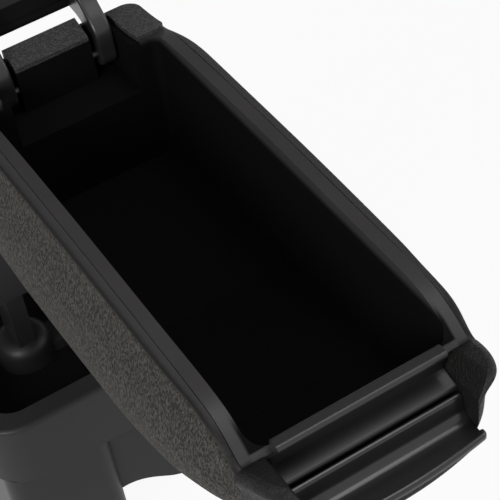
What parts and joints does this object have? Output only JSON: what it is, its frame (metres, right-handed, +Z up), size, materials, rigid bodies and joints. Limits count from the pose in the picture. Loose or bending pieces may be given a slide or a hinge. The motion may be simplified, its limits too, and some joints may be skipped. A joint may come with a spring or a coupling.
{
  "type": "car centre armrest",
  "caption": "Tilting car centre armrest on a console base, with a padded lid on gooseneck arms over a storage bin, a finger grip and a sprung lid latch.",
  "frame": {"origin": "centre of the base's floor bolt pattern, on the plane of the feet", "axes": "+Z up, -Y to the armrest's front, +X to the right seen from behind the armrest looking to its rear end, along the tilt axle"},
  "size_m": [0.244, 0.4234, 0.6316],
  "materials": {
    "grained_plastic": "leather grain",
    "fine_grain_plastic": "fine grain",
    "satin_plastic": "satin",
    "matte_black_plastic": "matte",
    "liner_plastic": "satin",
    "pad_leather": "grained leatherette",
    "base_plastic": "satin",
    "steel": "turned",
    "black_steel": "black zinc",
    "nylon": "plain",
    "rubber": "plain"
  },
  "bodies": {
    "base": {"base_adapter": "base_plastic", "pivot_bracket": "base_plastic", "pedestal_screws": "black_steel", "tilt_axle": "steel", "axle_nuts": "steel", "friction_washers": "nylon", "stop_buffers": "rubber"},
    "armrest": {"outer_shell": "grained_plastic", "storage_tray": "satin_plastic", "front_cap": "grained_plastic", "front_grip": "satin_plastic", "rear_cover": "fine_grain_plastic", "tilt_bracket": "base_plastic", "bracket_screws": "black_steel", "tray_screws": "black_steel", "axle_bushes": "nylon", "lid_hinge_pin_left": "black_steel", "lid_hinge_pin_right": "black_steel"},
    "lid": {"lid_panel": "matte_black_plastic", "lid_liner": "liner_plastic", "lid_pad": "pad_leather", "hinge_arm_left": "satin_plastic", "hinge_arm_right": "satin_plastic", "arm_screws": "black_steel", "lid_bumpers": "rubber", "latch_pin": "steel", "latch_spring": "steel"},
    "latch": {"latch_lever": "satin_plastic"}
  },
  "joints": [
    {"name": "armrest_tilt", "type": "hinge", "parent": "base", "child": "armrest", "pos_m": [0, 0.011, 0.205], "axis": [-1, 0, 0], "range_deg": [0, 90]},
    {"name": "lid_hinge", "type": "hinge", "parent": "armrest", "child": "lid", "pos_m": [0, 0.016, 0.313], "axis": [1, 0, 0], "range_deg": [0, 98]},
    {"name": "latch_pull", "type": "hinge", "parent": "lid", "child": "latch", "pos_m": [0, 0.08955, 0.62076], "axis": [-1, 0, 0], "range_deg": [0, 12], "stiffness_Nm_per_rad": 0.2}
  ]
}
